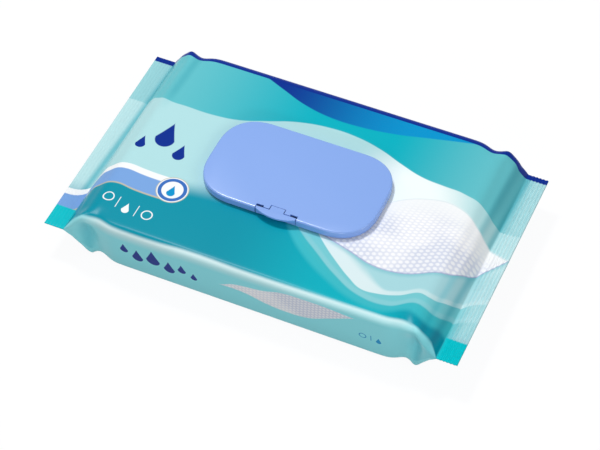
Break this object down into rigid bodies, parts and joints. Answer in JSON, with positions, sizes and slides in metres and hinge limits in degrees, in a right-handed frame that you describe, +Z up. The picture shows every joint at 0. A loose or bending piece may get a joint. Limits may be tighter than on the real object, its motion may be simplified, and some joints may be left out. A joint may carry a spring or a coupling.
{
  "type": "wet wipes pack with flip lid",
  "caption": "Soft film pouch with crimped end seals round a stack of wet wipes, with a moulded flip lid and thumb latch over the dispensing opening.",
  "frame": {"origin": "under the middle of the pack, on the surface that it lies on", "axes": "+X along the pack from its left end seal to its right one, +Y from the latch side to the lid hinge, +Z up"},
  "size_m": [0.28, 0.1616, 0.0486],
  "materials": {
    "printed_film": "printed laminate film, satin to gloss",
    "wet_nonwoven": "embossed moist nonwoven",
    "moulded_lid": "injection moulded polypropylene, soft gloss"
  },
  "bodies": {
    "pack": {"film_pouch": "printed_film", "wipe_stack": "wet_nonwoven", "lid_frame": "moulded_lid"},
    "lid": {"lid_cover": "moulded_lid"},
    "latch": {"thumb_latch": "moulded_lid"}
  },
  "joints": [
    {"name": "lid_hinge", "type": "hinge", "parent": "pack", "child": "lid", "pos_m": [0, 0.03445, 0.04425], "axis": [-1, 0, 0], "range_deg": [0, 120]},
    {"name": "latch_flex", "type": "hinge", "parent": "lid", "child": "latch", "pos_m": [0, -0.02865, 0.04795], "axis": [-1, 0, 0], "range_deg": [0, 8], "stiffness_Nm_per_rad": 0.05}
  ]
}
